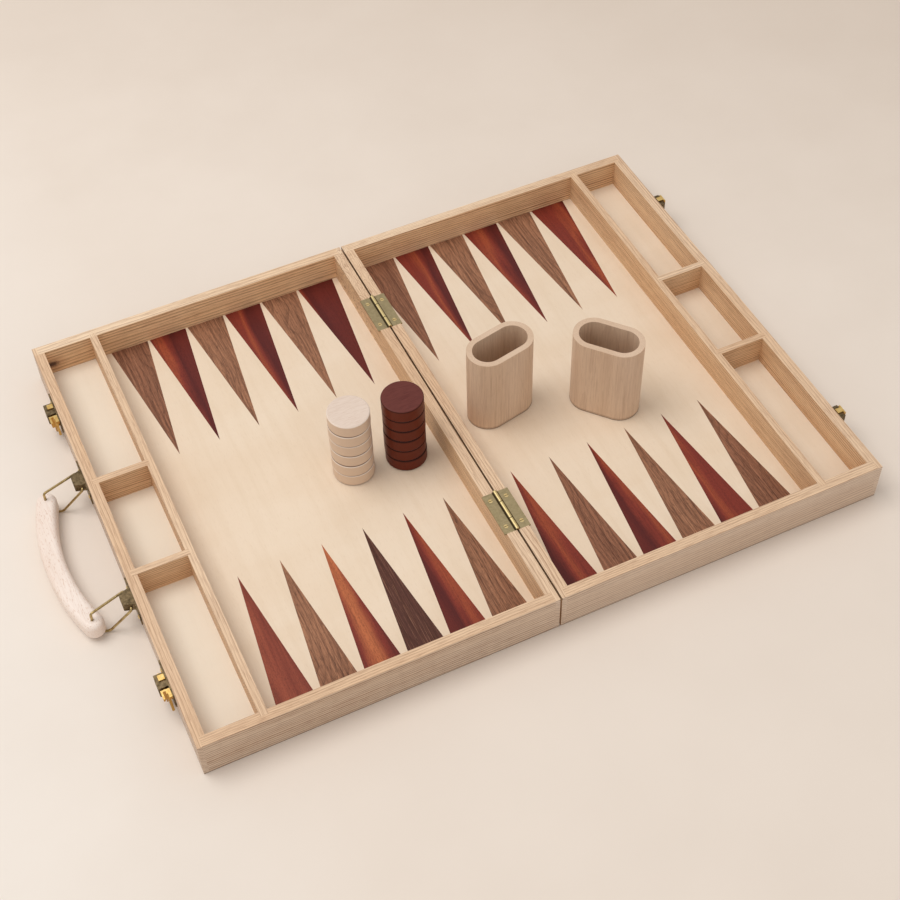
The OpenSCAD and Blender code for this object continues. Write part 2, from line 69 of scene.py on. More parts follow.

# Marks in the wood of the rails and the light and shade painted on them, where only the knot's X is the
# frame's own
KNOT_X = -277.0
KNOT_Z = 20.6
KNOT_R = 5.6
KNOT_HALO_R = 11.0
KNOT_RAGGED = 2.4
FLAME_RAILS_X = 16.0
FLAME_START_Y = 70.0
FLAME_END_Y = 170.0
FLAME_THROW = 16.0
LINES_ON_WALLS = 2.2
# Where painted light lies on the walls and the trays' floors, and where the paler back rim ends
LIT_END_X = 175.0
LIGHT_BAND_TOP_Z = 25.0
SIDES_MEET_X = 60.0
PALE_RIM_END_X = 280.0
# How high the painted shadow along the walls' foot reaches, and where the painted shade in the seam lies
WALL_SHADOW_Z = 1.6
SEAM_SHADE_X = 1.5
SEAM_SHADE_DEPTH = 3.2

# The handle, with distances out from the left wall
HANDLE_Y = 66.0
PIVOT_OUT = 4.4
PIVOT_Z = 26.0
WIRE_R = 1.05
BAIL_HALF = 10.0
BAIL_BEND = 2.6
BAIL_RISE = 0.5
BAIL_UNDER_GAP = 0.15
BAIL_INSET = 2.0
BAIL_BESIDE = 3.3
GRIP_HOLE_OUT = 35.0
GRIP_HOLE_R = 1.35
GRIP_BOW = 11.5
GRIP_WIDTH = 17.0
GRIP_BOTTOM = 2.6
GRIP_TOP = 19.0
GRIP_ROUND = 4.5

# The edges that are eased
SHARP_DEGREES = 35

# How the table's painted light and shade change, in millimetres from the frame's origin
WARM_END_X = -620.0
LIGHT_START_X = -200.0
SHADE_START = 270.0
SHADE_END = 1170.0
SHADE_TOWARDS_BACK = 0.66
SHADE_TOWARDS_RIGHT = 0.55
SHADE_RAGGED = 160.0

# The table and the lamps in metres
TABLE_HALF = 6.0
LAMP_PLACE = (-1.0, 0.52, 2.6)
LAMP_SIZE = 1.9
LAMP_POWER = 36.8
LAMP_COLOUR = (1.0, 0.97, 0.94)
FILL_PLACE = (-0.6, -2.4, 1.3)
FILL_SIZE = 1.6
FILL_POWER = 4
FILL_COLOUR = (1.0, 0.98, 0.95)
ROOM_STRENGTH = 0.6
ROOM_COLOUR = (1.0, 0.975, 0.95, 1.0)

# The camera as it was fitted to the photo, in millimetres from the seam
CAMERA_PLACE = (-346.14, -805.27, 1029.33)
CAMERA_RIGHT = (0.90429, -0.42635, -0.02206)
CAMERA_DOWN = (-0.34038, -0.68884, -0.64003)
CAMERA_AHEAD = (0.25768, 0.58628, -0.76803)
CAMERA_LENS = 62.43
CAMERA_SENSOR = 36.0


def srgb(red, green, blue):
    """A colour read as 0 to 255 values, as the linear colour that shaders take."""
    def linear(v):
        v = v / 255
        return v / 12.92 if v <= 0.04045 else ((v + 0.055) / 1.055) ** 2.4
    return (linear(red), linear(green), linear(blue), 1.0)


class Graph:
    """A material's node tree, with short calls for the nodes used here."""

    def __init__(self, name):
        self.material = bpy.data.materials.new(name)
        self.material.use_nodes = True
        self.tree = self.material.node_tree
        self.shader = self.tree.nodes["Principled BSDF"]
        outputs = self.add("ShaderNodeTexCoord").outputs
        self.coords = outputs["Object"]
        self.normal = outputs["Normal"]

    def add(self, kind, **settings):
        node = self.tree.nodes.new(kind)
        for key, value in settings.items():
            setattr(node, key, value)
        return node

    def put(self, socket, value):
        if isinstance(value, bpy.types.NodeSocket):
            self.tree.links.new(value, socket)
        else:
            socket.default_value = value

    def math(self, operation, a, b=0.0, clamp=False):
        node = self.add("ShaderNodeMath", operation=operation, use_clamp=clamp)
        self.put(node.inputs[0], a)
        self.put(node.inputs[1], b)
        return node.outputs[0]

    def plus(self, a, b):
        return self.math("ADD", a, b)

    def minus(self, a, b):
        return self.math("SUBTRACT", a, b)

    def times(self, a, b):
        return self.math("MULTIPLY", a, b)

    def over(self, a, b):
        return self.math("DIVIDE", a, b)

    def size(self, a):
        """The value without its sign."""
        return self.math("ABSOLUTE", a)

    def rest(self, share):
        """What a share leaves of 1."""
        return self.minus(1.0, share)

    def split(self, vector):
        node = self.add("ShaderNodeSeparateXYZ")
        self.put(node.inputs[0], vector)
        return node.outputs

    def join(self, x, y, z):
        node = self.add("ShaderNodeCombineXYZ")
        for socket, value in zip(node.inputs, (x, y, z)):
            self.put(socket, value)
        return node.outputs[0]

    def place(self, scale=(1, 1, 1), offset=(0, 0, 0)):
        """Object coordinates in millimetres, moved by offset and then scaled."""
        moved = self.add("ShaderNodeVectorMath", operation="ADD")
        self.put(moved.inputs[0], self.coords)
        self.put(moved.inputs[1], [v * MM for v in offset])
        scaled = self.add("ShaderNodeVectorMath", operation="MULTIPLY")
        self.put(scaled.inputs[0], moved.outputs[0])
        self.put(scaled.inputs[1], [v / MM for v in scale])
        return scaled.outputs[0]

    def board_xyz(self):
        """The three coordinates in millimetres, with X measured from the seam."""
        return self.split(self.place(offset=(-SEAM_X, 0, 0)))

    def noise(self, vector, scale=1.0, detail=3.0, rough=0.55, distortion=0.0, w=None):
        node = self.add("ShaderNodeTexNoise")
        if w is not None:
            node.noise_dimensions = "4D"
            self.put(node.inputs["W"], w)
        self.put(node.inputs["Vector"], vector)
        self.put(node.inputs["Scale"], scale)
        self.put(node.inputs["Detail"], detail)
        self.put(node.inputs["Roughness"], rough)
        self.put(node.inputs["Distortion"], distortion)
        return node.outputs["Fac"]

    def grain(self, scale, **settings):
        """Noise with so many swings to a millimetre along each axis."""
        return self.noise(self.place(scale), **settings)

    def ramp(self, value, stops, interpolation="LINEAR"):
        node = self.add("ShaderNodeValToRGB")
        band = node.color_ramp
        band.interpolation = interpolation
        while len(band.elements) < len(stops):
            band.elements.new(0.5)
        for element, (place, colour) in zip(band.elements, stops):
            element.position = place
            element.color = colour if len(colour) == 4 else (*colour, 1)
        self.put(node.inputs[0], value)
        return node.outputs[0]

    def level(self, value, start, end, low=0.0, high=1.0):
        """Low up to the start, high from the end on, and a straight line between."""
        node = self.add("ShaderNodeMapRange", clamp=True)
        for socket, number in zip(node.inputs, (value, start, end, low, high)):
            self.put(socket, number)
        return node.outputs[0]

    def mix(self, factor, a, b, blend="MIX"):
        node = self.add("ShaderNodeMix", data_type="RGBA", blend_type=blend)
        self.put(node.inputs[0], factor)
        self.put(node.inputs[6], a)
        self.put(node.inputs[7], b)
        return node.outputs[2]

    def tint(self, factor, colour, by):
        """The colour with its red, green and blue multiplied, as far as factor says."""
        return self.mix(factor, colour, (*by, 1.0), "MULTIPLY")

    def bump(self, height, strength, distance_mm):
        node = self.add("ShaderNodeBump")
        self.put(node.inputs["Strength"], strength)
        self.put(node.inputs["Distance"], distance_mm * MM)
        self.put(node.inputs["Height"], height)
        self.put(self.shader.inputs["Normal"], node.outputs[0])

    def finish(self, colour, roughness, **fixed):
        self.put(self.shader.inputs["Base Color"], colour)
        self.put(self.shader.inputs["Roughness"], roughness)
        for name, value in fixed.items():
            self.put(self.shader.inputs[name.replace("_", " ")], value)
        return self.material


def grain_scale(axis, along, across):
    """Scale of each axis for a wood whose grain runs along one of them."""
    return [along if name == axis else across for name in "XYZ"]


def upright(g):
    """0 on the faces that look up when the board lies open, and 1 on the others."""
    return g.level(g.split(g.normal)[2], 0.5, 0.95, 1.0, 0.0)


def flame_end(g):
    """How far the lines are thrown about at the back ends of the two hinge rails."""
    x, y, _ = g.board_xyz()
    by_seam = g.level(g.size(x), FLAME_RAILS_X + 4.0, FLAME_RAILS_X)
    by_end = g.level(y, FLAME_START_Y, FLAME_END_Y, high=FLAME_THROW)
    waves = g.grain((0.12, 0.05, 0.12), detail=2.0)
    return g.times(g.times(by_seam, by_end), waves)


def year_lines(g, axis, period, tilt, wander, seed, thrown):
    """Thin dark lines of late wood, tilted across the piece and wandering along it."""
    slow = g.grain(grain_scale(axis, 0.0035, 0.02), detail=2.0, rough=0.5, w=seed)
    small = g.grain(grain_scale(axis, 0.012, 0.12), detail=2.0, rough=0.5, w=seed + 4.0)
    places = dict(zip("XYZ", g.split(g.place())))
    flat, high = [places[name] for name in "XYZ" if name != axis]
    across = g.plus(g.times(flat, math.cos(tilt)), g.times(high, math.sin(tilt)))
    bent = g.plus(g.plus(across, thrown), g.times(slow, wander))
    shaken = g.plus(bent, g.times(small, period * 0.9))
    count = g.over(shaken, period)
    ring = g.math("FLOOR", count)
    own = g.noise(g.join(0.0, 0.0, 0.0), detail=0.0, rough=0.5, w=g.times(ring, 3.7))
    strength = g.level(own, 0.35, 0.65, low=0.35)
    return g.times(g.math("POWER", g.math("FRACT", count), 3.2), strength)


def inner_faces(g, colour, inner, x, y, z):
    """Painted warm light on the inner walls, with more painted light on the back wall, palest over its
    foot in the right half.
    """
    light_band_colour = srgb(240, 208, 174)
    at_back = g.times(inner, g.level(y, BACK_INNER_Y - 4.0, BACK_INNER_Y - 2.0))
    past_left = g.level(x, -FIELD_END, -FIELD_END + 2.0)
    in_field = g.times(past_left, g.level(x, LIT_END_X, LIT_END_X - 25.0))
    over_foot = g.times(g.level(x, 0.0, 5.0), g.level(x, LIT_END_X, LIT_END_X - 55.0))
    band = g.times(over_foot, g.level(z, LIGHT_BAND_TOP_Z, LIGHT_BAND_TOP_Z - 10.0, high=0.36))
    warm_lit = g.tint(inner, colour, (1.05, 1.01, 0.9))
    lit = g.tint(g.times(at_back, in_field), warm_lit, (1.12, 1.13, 1.14))
    return g.mix(g.times(at_back, band), lit, light_band_colour)


def outer_faces(g, colour, outer_walls, x):
    """Painted cool light makes the outer faces greyer than the inside, and painted light makes them
    paler in the right half.
    """
    pale = srgb(226, 203, 182)
    cool_lit = g.tint(outer_walls, colour, (0.9, 1.0, 1.16))
    to_right = g.level(x, -SIDES_MEET_X, SIDES_MEET_X, high=0.34)
    return g.mix(g.times(outer_walls, to_right), cool_lit, pale)


def back_rim(g, colour, tops, x, y):
    """Paler tops of the back rails, as far as the right corner."""
    past_back = g.level(y, BACK_INNER_Y - 1.0, BACK_INNER_Y + 1.0)
    before_corner = g.level(x, PALE_RIM_END_X, PALE_RIM_END_X - 120.0)
    on_rim = g.times(g.times(past_back, tops), before_corner)
    return g.tint(on_rim, colour, (1.12, 1.19, 1.25))


def dark_edges(g, colour, walls, outer_walls, x, z):
    """Painted shadow in a dark line along the foot of the outer walls, and painted shade in the seam
    under the rim.
    """
    # foot is the colour of the painted shadow and seam the colour of the painted shade
    foot, seam = srgb(112, 84, 62), srgb(58, 42, 30)
    foot_shadow_mask = g.times(outer_walls, g.level(z, WALL_SHADOW_Z, WALL_SHADOW_Z - 0.9, high=0.6))
    foot_shaded = g.mix(foot_shadow_mask, colour, foot)
    by_seam = g.level(g.size(x), SEAM_SHADE_X, SEAM_SHADE_X - 0.5)
    under_rim = g.level(z, RIM_Z - SEAM_SHADE_DEPTH, RIM_Z - 0.9, high=0.9)
    seam_shade_mask = g.times(walls, g.times(by_seam, under_rim))
    return g.mix(seam_shade_mask, foot_shaded, seam)


def weathered(g, colour):
    """Painted light and shade on the rails: warmer inside the board, greyer on their outer faces, with
    painted shadow along the walls' foot and painted shade in the seam.
    """
    x, y, z = g.board_xyz()
    past_x = g.minus(g.size(x), OUTER_X)
    past_y = g.minus(g.size(y), HALF_DEPTH)
    outer = g.level(g.math("MAXIMUM", past_x, past_y), -0.7, -0.3)
    walls = upright(g)
    outer_walls = g.times(walls, outer)
    colour = inner_faces(g, colour, g.times(walls, g.rest(outer)), x, y, z)
    colour = outer_faces(g, colour, outer_walls, x)
    colour = back_rim(g, colour, g.rest(walls), x, y)
    return dark_edges(g, colour, walls, outer_walls, x, z)


def knotted(g, colour):
    """Wood with one knot that goes right through the rail, under the rails' painted light and shade."""
    brown, heart = srgb(150, 100, 68), srgb(70, 40, 24)
    x, _, z = g.split(g.place(offset=(-KNOT_X, 0, -KNOT_Z)))
    ragged = g.times(g.grain((0.7, 0.7, 0.7), detail=2.0), KNOT_RAGGED)
    flat = g.plus(g.math("POWER", g.times(x, 0.6), 2.0), g.math("POWER", z, 2.0))
    reach = g.plus(g.math("SQRT", flat), ragged)
    halo = g.level(reach, KNOT_HALO_R, KNOT_HALO_R - 7.0, high=0.5)
    spot = g.level(reach, KNOT_R, KNOT_R - 3.0, high=0.92)
    ringed = g.mix(halo, colour, brown)
    return weathered(g, g.mix(spot, ringed, heart))


def turned_foot(g, colour):
    """A fine dark line around the foot of a cup, and painted contact shadow along its lower edge."""
    # edge is the colour of the painted contact shadow
    line, edge = srgb(96, 62, 42), srgb(92, 62, 42)
    z = g.split(g.place(offset=(0, 0, -STAND_Z)))[2]
    from_line = g.size(g.minus(z, FOOT_LINE_Z))
    lined = g.mix(g.level(from_line, 0.5, 0.2, high=0.4), colour, line)
    return g.mix(g.level(z, CUP_SHADOW_Z, CUP_SHADOW_Z - 0.8, high=0.75), lined, edge)


def plain_wood(name, axis, light, mid, dark, finish_of, throw=None, period=1.65, tilt=0.9, wander=14.0,
               line_strength=0.68, pore_strength=0.4, gloss=(0.42, 0.58), seed=0.0):
    """Year lines along the piece, with fibres and short pores."""
    g = Graph(name)
    thrown = throw(g) if throw else 0.0
    lines = year_lines(g, axis, period, tilt, wander, seed, thrown)
    fibres = g.grain(grain_scale(axis, 0.02, 1.2), detail=4.0, rough=0.7, w=seed)
    clouds = g.grain(grain_scale(axis, 0.004, 0.03), detail=2.0, rough=0.5, w=seed)
    pores = g.grain(grain_scale(axis, 0.09, 2.6), detail=1.0, rough=0.4, w=seed)
    base = g.mix(g.level(clouds, 0.35, 0.65), light, mid)
    strength = g.level(upright(g), 0.0, 1.0, line_strength, line_strength * LINES_ON_WALLS)
    ringed = g.mix(g.math("MULTIPLY", lines, strength, clamp=True), base, dark)
    fibred = g.mix(g.level(fibres, 0.48, 0.66, high=0.32), ringed, dark)
    pored = g.mix(g.level(pores, 0.56, 0.66, high=pore_strength), fibred, dark)
    g.bump(g.plus(g.times(fibres, 0.6), g.times(pores, -0.5)), 0.3, 0.1)
    return g.finish(finish_of(g, pored), g.level(fibres, 0.3, 0.7, *gloss))


def floor_wood():
    """Pale close-grained panel with faint flecks and clouds, and painted light that makes the trays
    paler, most in the left half.
    """
    light, mid, streak = srgb(238, 219, 196), srgb(234, 213, 188), srgb(220, 196, 166)
    fleck, tray = srgb(206, 180, 150), srgb(246, 243, 230)
    g = Graph("panel_maple")
    clouds = g.grain((0.008, 0.02, 0.02), distortion=0.4)
    streaks = g.grain((0.15, 0.012, 0.15), detail=4.0, rough=0.6)
    flecks = g.grain((1.6, 0.16, 1.6), detail=2.0, rough=0.5)
    base = g.mix(g.level(clouds, 0.35, 0.65), light, mid)
    streaked = g.mix(g.level(streaks, 0.45, 0.75, high=0.3), base, streak)
    flecked = g.mix(g.level(flecks, 0.58, 0.75, high=0.25), streaked, fleck)
    x = g.board_xyz()[0]
    # Painted light: the trays' floors turn towards the paler tray colour, most in the left half
    in_tray = g.level(g.size(x), FIELD_END, FIELD_END + 6.0, high=0.5)
    to_left = g.level(x, SIDES_MEET_X, -SIDES_MEET_X, low=0.3)
    tray_lit = g.times(in_tray, g.times(g.rest(upright(g)), to_left))
    g.bump(g.plus(flecks, streaks), 0.18, 0.06)
    rough = g.level(clouds, 0.3, 0.7, 0.42, 0.55)
    return g.finish(g.mix(tray_lit, flecked, tray), rough, Specular_IOR_Level=0.3)


def point_place(g):
    """Where a place lies in its point: left to right from 0 to 1, the point's column
    from 0 to 11, 1 in the front row and 0 in the back row, and a number of its own."""
    x, y, _ = g.board_xyz()
    side = g.math("SIGN", x)
    steps = g.over(g.minus(g.size(x), FIRST_POINT_X), POINT_PITCH)
    middle = g.minus(g.math("FRACT", steps), 0.5)
    across = g.plus(g.times(middle, side), 0.5)
    from_seam = g.plus(g.math("FLOOR", steps), 0.5)
    column = g.plus(g.times(from_seam, side), COLUMNS / 2 - 0.5)
    front = g.math("LESS_THAN", y, 0.0)
    number = g.plus(column, g.times(front, COLUMNS + 1.0))
    return across, column, front, number


def per_column(g, column, colours):
    """One colour for each of the twelve columns."""
    stops = [(i / COLUMNS, colour) for i, colour in enumerate(colours)]
    return g.ramp(g.over(g.plus(column, 0.5), COLUMNS), stops, "CONSTANT")


def front_point(g, column, front, index):
    """1 in one point of the front row, and 0 in all others."""
    black, white = (0, 0, 0), (1, 1, 1)
    chosen = [white if i == index else black for i in range(COLUMNS)]
    return g.times(per_column(g, column, chosen), front)


def walnut_wood():
    """Brown with near-black lines along each point, each point in a tone of its own."""
    warm, mid, plum = srgb(172, 122, 92), srgb(158, 108, 82), srgb(92, 56, 48)
    shade, curl, line = srgb(92, 54, 40), srgb(70, 40, 30), srgb(66, 38, 29)
    light, pore = srgb(182, 136, 106), srgb(56, 32, 25)
    back_tones = [mid, mid, warm, warm, warm, mid, mid, mid, warm, mid, warm, mid]
    front_tones = [mid, warm, mid, plum, mid, warm, mid, mid, mid, warm, mid, mid]
    g = Graph("walnut_inlay")
    across, column, front, number = point_place(g)
    tone = g.mix(front, per_column(g, column, back_tones), per_column(g, column, front_tones))
    seed = g.times(number, 1.7)
    sway = g.grain((0.03, 0.012, 0.03), detail=1.0, rough=0.5, w=seed)
    figure = g.grain((0.35, 0.006, 0.35), detail=2.0, rough=0.5, distortion=1.4, w=g.plus(seed, sway))
    lines = g.grain((1.5, 0.02, 1.5), rough=0.6, distortion=0.5, w=g.plus(seed, figure))
    pores = g.grain((2.4, 0.2, 2.4), detail=2.0, rough=0.6, w=seed)
    bend = g.grain((0.02, 0.011, 0.02), detail=1.5, rough=0.5, w=g.plus(seed, 3.0))
    count = g.plus(g.times(across, 9.0), g.times(bend, 13.0))
    curved = g.math("POWER", g.math("FRACT", count), 4.0)
    shaded = g.mix(g.level(figure, 0.4, 0.66, high=0.5), tone, shade)
    curled = g.mix(g.times(curved, 0.5), shaded, curl)
    lined = g.mix(g.level(lines, 0.5, 0.64, high=0.6), curled, line)
    lit = g.mix(g.level(lines, 0.44, 0.3, high=0.5), lined, light)
    pored = g.mix(g.level(pores, 0.52, 0.66, high=0.6), lit, pore)
    g.bump(g.plus(pores, lines), 0.2, 0.05)
    return g.finish(pored, g.level(pores, 0.3, 0.7, 0.4, 0.55), Specular_IOR_Level=0.2)


def padauk_lean(g, column, front):
    """How far the orange side of each padauk point reaches, from 0 to 1."""
    even, redder, darker, darkest = [(v, v, v) for v in (0.5, 0.72, 0.38, 0.12)]
    back_leans = [even, darker, even, even, even, darkest] + [even] * 5 + [redder]
    front_leans = [even] * 4 + [darker] + [even] * 5 + [redder, even]
    return g.mix(front, per_column(g, column, back_leans), per_column(g, column, front_leans))


def padauk_wood():
    """Polished red: a maroon side that turns to orange red, one banded and one pink point."""
    maroon, deep, red = srgb(88, 30, 28), srgb(104, 38, 32), srgb(132, 52, 39)
    orange, amber = srgb(160, 76, 48), srgb(190, 108, 68)
    pale_pink, dark_pink = srgb(164, 84, 60), srgb(116, 46, 36)
    stripe, fibre = srgb(78, 24, 20), srgb(66, 20, 17)
    banded_point, pink_point = 2, 0
    g = Graph("padauk_inlay")
    across, column, front, number = point_place(g)
    seed = g.times(number, 2.3)
    waver = g.grain((0.06, 0.008, 0.06), distortion=0.3, w=seed)
    wave = g.times(g.minus(waver, 0.5), 0.9)
    shift = g.plus(wave, g.minus(padauk_lean(g, column, front), 0.5))
    turned = g.plus(g.times(across, front), g.times(g.rest(across), g.rest(front)))
    sided = g.ramp(g.plus(turned, shift),
                   [(0.12, deep), (0.32, maroon), (0.5, red), (0.62, orange), (0.78, red), (0.95, red)])
    banded = g.ramp(g.plus(across, g.times(shift, 0.6)),
                    [(0.08, deep), (0.24, red), (0.44, amber), (0.56, amber), (0.74, red), (0.9, deep)])
    pink = g.mix(g.level(waver, 0.35, 0.65), pale_pink, dark_pink)
    with_band = g.mix(front_point(g, column, front, banded_point), sided, banded)
    figured = g.mix(front_point(g, column, front, pink_point), with_band, pink)
    stripes = g.grain((0.9, 0.012, 0.9), rough=0.6, distortion=0.3, w=seed)
    striped = g.mix(g.level(stripes, 0.45, 0.66, high=0.32), figured, stripe)
    fine = g.grain((2.2, 0.45, 2.2), detail=2.0, rough=0.6, w=seed)
    fibred = g.mix(g.level(fine, 0.5, 0.68, high=0.5), striped, fibre)
    g.bump(g.plus(fine, waver), 0.12, 0.04)
    return g.finish(fibred, g.level(fine, 0.3, 0.7, 0.36, 0.48), Specular_IOR_Level=0.25)


def checker_wood(name, light, mid, dark, side, groove, edge, shine):
    """Each checker of a stack has a grain of its own and a browner turned side, with painted shade at
    its foot and where the next checker sits on it, and along its upper edge a painted highlight on the
    pale checkers and painted shade on the dark ones."""
    g = Graph(name)
    x, y, z = g.split(g.place(offset=(0, 0, -STAND_Z)))
    layer = g.over(z, CHECKER_T)
    own = g.times(g.math("FLOOR", layer), 5.3)
    height = g.math("FRACT", layer)
    grain = g.noise(g.join(g.times(x, 0.05), g.times(y, 0.55), z), rough=0.6, distortion=0.3, w=own)
    fine = g.noise(g.join(g.times(x, 0.2), g.times(y, 3.0), z), detail=2.0, rough=0.5, w=own)
    turned = g.noise(g.join(0.0, 0.0, z), scale=2.2, detail=2.0)
    base = g.ramp(grain, [(0.3, mid), (0.5, light), (0.7, mid)])
    fibred = g.mix(g.level(fine, 0.5, 0.75, high=0.5), base, dark)
    sided = g.mix(g.level(turned, 0.3, 0.7, high=0.35), side, dark)
    foot_shaded = g.mix(g.level(height, 0.09, 0.03, high=0.9), sided, groove)
    edge_light_and_shade = g.mix(g.level(height, 0.88, 0.93, high=0.8), foot_shaded, edge)
    topped = g.mix(upright(g), fibred, edge_light_and_shade)
    covered = g.math("LESS_THAN", z, (CHECKERS - 0.1) * CHECKER_T)
    joint_shaded = g.times(g.level(height, 0.95, 0.985, high=0.85), covered)
    g.bump(g.plus(fine, turned), 0.2, 0.05)
    rough = g.level(fine, 0.3, 0.7, 0.34, 0.46)
    return g.finish(g.mix(joint_shaded, topped, groove), rough, Specular_IOR_Level=shine)


def metal(name, colour, shade, rough, wear=None, side=None):
    """A worked metal with cloudy tarnish, fine scratches and, if given, worn spots
    and painted shade in another colour on the faces that don't look up."""
    g = Graph(name)
    clouds = g.grain((0.35, 0.35, 0.35), detail=4.0, rough=0.6)
    scratches = g.grain(grain_scale("Y", 0.25, 6.0), rough=0.6)
    base = g.mix(g.level(clouds, 0.35, 0.68), colour, shade)
    if wear is not None:
        spots = g.grain((1.1, 1.1, 1.1), detail=5.0, rough=0.7)
        base = g.mix(g.level(spots, 0.56, 0.7, high=0.7), base, wear)
    if side is not None:
        base = g.mix(g.times(upright(g), 0.75), base, side)
    g.bump(scratches, 0.25, 0.02)
    return g.finish(base, g.level(scratches, 0.3, 0.7, *rough), Metallic=1.0)


def hinge_metal():
    """Satin leaves, with a painted highlight along the top of the three knuckles, and painted shade in
    the grooves beside them and between them.
    """
    leaf, shade = srgb(186, 170, 132), srgb(168, 152, 116)
    knuckle_highlight, groove = srgb(226, 206, 150), srgb(60, 48, 28)
    g = Graph("hinge_brass")
    x, y, _ = g.board_xyz()
    clouds = g.grain((0.35, 0.35, 0.35), detail=4.0, rough=0.6)
    scratches = g.grain((0.25, 6.0, 0.25), rough=0.6)
    brushed = g.mix(g.level(clouds, 0.35, 0.68), leaf, shade)
    scratched = g.mix(g.level(scratches, 0.5, 0.7, high=0.3), brushed, groove)
    # Painted highlight along the top of the barrel, and painted shade beside it and between the knuckles
    from_pin = g.size(x)
    barrel = g.mix(g.level(from_pin, BARREL_R - 0.6, BARREL_R - 1.1), scratched, knuckle_highlight)
    beside = g.size(g.minus(from_pin, BARREL_R))
    from_hinge = g.size(g.minus(g.size(y), HINGE_Y))
    from_split = g.size(g.minus(from_hinge, KNUCKLE_HALF))
    on_barrel = g.level(from_pin, BARREL_R + 0.4, BARREL_R)
    split = g.times(g.level(from_split, 0.5, 0.2), on_barrel)
    dark = g.math("MAXIMUM", g.level(beside, 0.8, 0.45), split)
    groove_shaded = g.mix(g.times(dark, 0.85), barrel, groove)
    g.bump(scratches, 0.2, 0.02)
    return g.finish(groove_shaded, g.level(scratches, 0.3, 0.7, 0.4, 0.52), Metallic=1.0)


def slotted_metal():
    """Bright screws whose slots are dark."""
    bright, shade, slot = srgb(255, 230, 170), srgb(232, 198, 132), srgb(70, 50, 28)
    g = Graph("slotted_brass")
    z = g.split(g.place())[2]
    clouds = g.grain((0.9, 0.9, 0.9), rough=0.6)
    brushed = g.mix(g.level(clouds, 0.35, 0.68), bright, shade)
    in_slot = g.level(z, RIM_Z - 0.1, RIM_Z - 0.25)
    g.bump(clouds, 0.2, 0.03)
    return g.finish(g.mix(in_slot, brushed, slot), g.level(clouds, 0.3, 0.7, 0.24, 0.38), Metallic=1.0)


def grip_wood():
    """Pale beech along Y, with short brown flecks."""
    light, mid, brown = srgb(246, 232, 222), srgb(240, 222, 209), srgb(200, 156, 126)
    g = Graph("grip_beech")
    clouds = g.grain((0.06, 0.012, 0.06))
    flecks = g.grain((1.5, 0.3, 1.5), detail=1.0, rough=0.4)
    fibres = g.grain((1.6, 0.05, 1.6), rough=0.6)
    base = g.mix(g.level(clouds, 0.35, 0.65), light, mid)
    fibred = g.mix(g.level(fibres, 0.5, 0.75, high=0.3), base, brown)
    flecked = g.mix(g.level(flecks, 0.62, 0.7, high=0.45), fibred, brown)
    g.bump(g.plus(fibres, flecks), 0.15, 0.06)
    return g.finish(flecked, g.level(fibres, 0.3, 0.7, 0.38, 0.5))


def table_paper():
    """Warm pale paper with painted light and shade: a little darker towards the back and the right, and
    lighter at the far left.
    """
    light, warm = srgb(235, 223, 211), srgb(244, 238, 231)
    far, mottle = srgb(207, 189, 172), srgb(212, 198, 184)
    g = Graph("table_paper")
    x, y, _ = g.split(g.place())
    paper = g.grain((0.008, 0.008, 0.008), detail=4.0)
    grit = g.grain((0.6, 0.6, 0.6))
    away = g.plus(g.times(y, SHADE_TOWARDS_BACK), g.times(x, SHADE_TOWARDS_RIGHT))
    ragged = g.plus(away, g.times(paper, SHADE_RAGGED))
    shade = g.level(ragged, SHADE_START, SHADE_END)
    near = g.mix(g.level(x, WARM_END_X, LIGHT_START_X), warm, light)
    tint = g.mix(shade, near, far)
    mottled = g.mix(g.level(paper, 0.35, 0.7, high=0.12), tint, mottle)
    g.bump(grit, 0.08, 0.05)
    return g.finish(mottled, g.level(paper, 0.3, 0.7, 0.75, 0.85))


def dress(names, material):
    for name in names:
        slots = NODES[name].data.materials
        slots.clear()
        slots.append(material)


def soften(names, width_mm, segments=2):
    """Eases the sharp edges of a CAD solid."""
    for name in names:
        bevel = NODES[name].modifiers.new("eased edges", "BEVEL")
        bevel.width = width_mm * MM
        bevel.segments = segments
        bevel.limit_method = "ANGLE"
        bevel.angle_limit = math.radians(SHARP_DEGREES)
        bevel.harden_normals = True


def both(pattern):
    return [pattern.format(side) for side in ("left", "right")]


def ends(pattern):
    return [pattern.format(row) for row in ("back", "front")]


def dress_frame():
    ash = dict(light=srgb(236, 206, 173), mid=srgb(226, 190, 153), dark=srgb(134, 84, 52))
    fine_x = plain_wood("ash_along_x", "X", period=1.56, tilt=0.61, wander=9.0, seed=1.0,
                        line_strength=0.8, finish_of=weathered, **ash)
    broad_x = plain_wood("ash_broad_lines", "X", period=2.5, tilt=0.8, wander=15.0, seed=5.0,
                         line_strength=0.56, finish_of=knotted, **ash)
    along_y = plain_wood("ash_along_y", "Y", seed=2.0, finish_of=weathered, throw=flame_end, **ash)
    divider_x = plain_wood("divider_along_x", "X", seed=3.0, finish_of=weathered, **ash)
    divider_y = plain_wood("divider_along_y", "Y", seed=4.0, finish_of=weathered, **ash)
    fine_rails = both("{}_front_rail") + ["right_back_rail"]
    rails_y = both("{}_side_rail") + both("{}_hinge_rail")
    long_dividers = both("{}_long_divider")
    cross_dividers = both("{}_back_cross_divider") + both("{}_front_cross_divider")
    dress(fine_rails, fine_x)
    dress(["left_back_rail"], broad_x)
    dress(rails_y, along_y)
    dress(long_dividers, divider_y)
    dress(cross_dividers, divider_x)
    dress(both("{}_floor_panel"), floor_wood())
    soften(fine_rails + ["left_back_rail"] + rails_y, 0.5)
    soften(long_dividers + cross_dividers, 0.4)


def dress_points():
    dress(both("{}_walnut_points"), walnut_wood())
    dress(both("{}_padauk_points"), padauk_wood())


